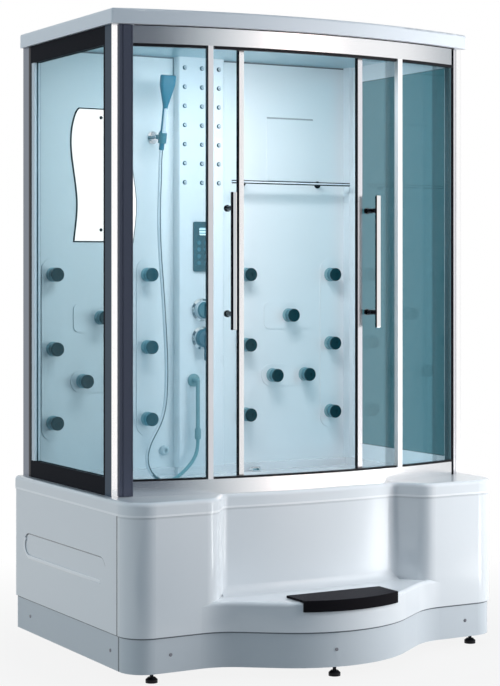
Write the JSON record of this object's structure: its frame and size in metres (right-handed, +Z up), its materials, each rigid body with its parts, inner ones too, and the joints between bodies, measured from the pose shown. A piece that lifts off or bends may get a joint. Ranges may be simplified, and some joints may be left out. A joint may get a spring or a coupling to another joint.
{
  "type": "hydromassage shower cabin",
  "caption": "Bow-fronted hydromassage shower cabin over a deep tub with a moulded step, sliding curved glass doors, swivel body jets, a nozzle column, hand shower, mirror and towel bar.",
  "frame": {"origin": "on the floor under the middle of the cabin's footprint, step included", "axes": "+Z up, +Y towards the wall behind the cabin, +X to the user's right when facing the doors"},
  "size_m": [1.482, 1.173, 2.212],
  "materials": {
    "white_acrylic": "glossy white sanitary acrylic",
    "roof_acrylic": "satin grey-white acrylic",
    "black_pad": "matte black ribbed tread",
    "black_plastic": "black moulded plastic",
    "galvanised": "grey powder coat",
    "screw_steel": "plain steel",
    "bright_chrome": "polished chrome",
    "bright_aluminium": "polished aluminium",
    "dark_aluminium": "dark polished anodised aluminium",
    "clear_glass": "clear tempered glass with a teal cast",
    "mirror_glass": "silvered",
    "teal_jet": "dark teal gloss",
    "jet_ring": "pale teal gloss",
    "panel_face": "dark teal-grey gloss",
    "hose_plastic": "smooth grey hose",
    "shower_blue": "blue-teal gloss",
    "brass_body": "cast brass",
    "pipe_white": "plain pipe",
    "nylon": "natural nylon"
  },
  "bodies": {
    "cabin": {"bathtub": "white_acrylic", "bottom_rail": "bright_aluminium", "ceiling_panel": "white_acrylic", "centre_column": "white_acrylic", "column_nozzles": "bright_chrome", "control_panel": "panel_face", "corner_trims": "bright_chrome", "fixed_stiles": "bright_aluminium", "front_apron": "white_acrylic", "front_plinth": "white_acrylic", "hose_elbow": "bright_chrome", "jet_sockets": "jet_ring", "left_apron": "white_acrylic", "left_back_panel": "white_acrylic", "left_fixed_glass": "clear_glass", "left_front_post": "dark_aluminium", "left_plinth": "white_acrylic", "left_side_frame": "dark_aluminium", "left_side_glass": "clear_glass", "levelling_feet": "black_plastic", "mirror": "mirror_glass", "plinth_screws": "screw_steel", "rear_posts": "bright_aluminium", "right_apron": "white_acrylic", "right_back_panel": "white_acrylic", "right_fixed_glass": "clear_glass", "right_front_post": "bright_aluminium", "right_plinth": "white_acrylic", "right_side_frame": "bright_aluminium", "right_side_glass": "clear_glass", "shower_bracket": "bright_chrome", "shower_hose": "hose_plastic", "steam_outlet": "bright_chrome", "step_pad": "black_pad", "support_frame": "galvanised", "top_cover": "roof_acrylic", "top_rail": "bright_aluminium", "towel_bar": "bright_chrome", "tub_waste": "bright_chrome", "valve_body": "brass_body", "valve_rosettes": "bright_chrome", "water_manifold": "pipe_white"},
    "left_door": {"left_door_glass": "clear_glass", "left_door_stile": "bright_aluminium", "left_door_handle": "bright_chrome", "left_door_runners": "nylon"},
    "right_door": {"right_door_glass": "clear_glass", "right_door_stile": "bright_aluminium", "right_door_handle": "bright_chrome", "right_door_runners": "nylon"},
    "diverter": {"diverter_knob": "bright_chrome"},
    "mixer": {"mixer_lever": "bright_chrome"},
    "waste_control": {"waste_control_knob": "bright_chrome"},
    "holder": {"shower_holder": "bright_chrome"},
    "handset": {"hand_shower": "shower_blue"},
    "jets_row_1": {"jet_heads_row_1": "teal_jet"},
    "jets_row_2": {"jet_heads_row_2": "teal_jet"},
    "jets_row_3": {"jet_heads_row_3": "teal_jet"},
    "jets_row_4": {"jet_heads_row_4": "teal_jet"},
    "jets_row_5": {"jet_heads_row_5": "teal_jet"}
  },
  "joints": [
    {"name": "left_door_slide", "type": "hinge", "parent": "cabin", "child": "left_door", "pos_m": [0, 1.97147, 1.375], "axis": [0, 0, 1], "range_deg": [-0.2, 6.43]},
    {"name": "right_door_slide", "type": "hinge", "parent": "cabin", "child": "right_door", "pos_m": [0, 1.97147, 1.375], "axis": [0, 0, 1], "range_deg": [-5.17, 1.45]},
    {"name": "diverter_turn", "type": "hinge", "parent": "cabin", "child": "diverter", "pos_m": [0, 0.5225, 1.192], "axis": [0, -1, 0], "range_deg": [-90, 90]},
    {"name": "mixer_turn", "type": "hinge", "parent": "cabin", "child": "mixer", "pos_m": [0, 0.5225, 1.084], "axis": [0, -1, 0], "range_deg": [-50, 50]},
    {"name": "waste_control_turn", "type": "hinge", "parent": "cabin", "child": "waste_control", "pos_m": [0.228, 0.5115, 0.562], "axis": [0, 0, 1], "range_deg": [0, 90]},
    {"name": "shower_tilt", "type": "hinge", "parent": "cabin", "child": "holder", "pos_m": [-0.19, 0.5105, 1.85], "axis": [1, 0, 0], "range_deg": [-10, 25], "deforming": ["shower_hose"]},
    {"name": "shower_lift", "type": "slide", "parent": "holder", "child": "handset", "axis": [0, -0.2079, 0.9781], "range_m": [0, 0.07], "deforming": ["shower_hose"]},
    {"name": "jets_row_1_swivel", "type": "hinge", "parent": "cabin", "child": "jets_row_1", "pos_m": [0, 0.5532, 1.328], "axis": [1, 0, 0], "range_deg": [-12, 12]},
    {"name": "jets_row_2_swivel", "type": "hinge", "parent": "cabin", "child": "jets_row_2", "pos_m": [0, 0.5532, 1.167], "axis": [1, 0, 0], "range_deg": [-12, 12]},
    {"name": "jets_row_3_swivel", "type": "hinge", "parent": "cabin", "child": "jets_row_3", "pos_m": [0, 0.5532, 1.053], "axis": [1, 0, 0], "range_deg": [-12, 12]},
    {"name": "jets_row_4_swivel", "type": "hinge", "parent": "cabin", "child": "jets_row_4", "pos_m": [0, 0.5532, 0.931], "axis": [1, 0, 0], "range_deg": [-12, 12]},
    {"name": "jets_row_5_swivel", "type": "hinge", "parent": "cabin", "child": "jets_row_5", "pos_m": [0, 0.5532, 0.78], "axis": [1, 0, 0], "range_deg": [-12, 12]}
  ]
}
